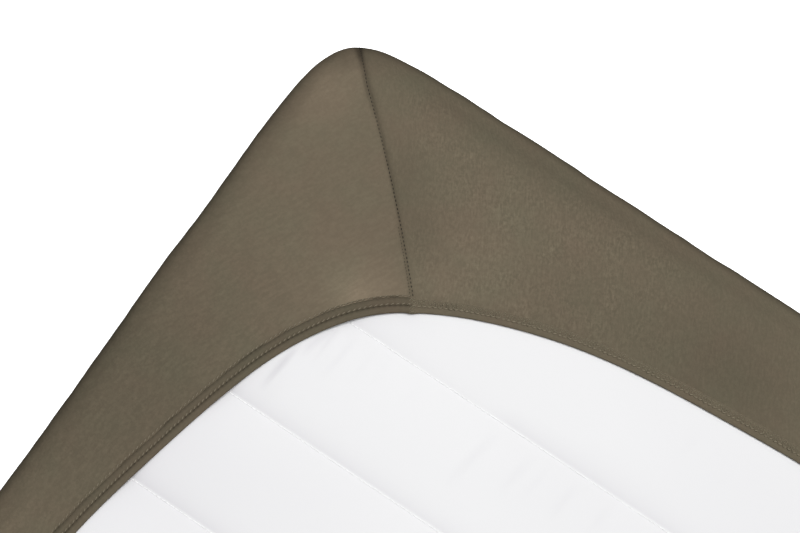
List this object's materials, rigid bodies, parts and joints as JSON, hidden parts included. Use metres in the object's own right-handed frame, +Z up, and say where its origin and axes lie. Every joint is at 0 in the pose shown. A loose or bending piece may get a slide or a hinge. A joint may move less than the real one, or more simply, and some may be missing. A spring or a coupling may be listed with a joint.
{
  "type": "fitted sheet on mattress",
  "caption": "Fitted sheet with seamed corners and an elastic hem, pulled over a plain quilted mattress that lies face down.",
  "frame": {"origin": "on the surface it lies on, under the middle of the mattress", "axes": "+Z up, out of the quilted underside that shows; +Y along the mattress; +X across it"},
  "size_m": [1.0072, 2.0072, 0.1484],
  "materials": {
    "taupe_cotton": "matt woven cotton with a soft, faintly brushed face",
    "white_ticking": "matt fine knitted ticking, quilted in straight lines"
  },
  "bodies": {
    "root": {"fitted_sheet": "taupe_cotton", "mattress": "white_ticking"}
  },
  "joints": []
}
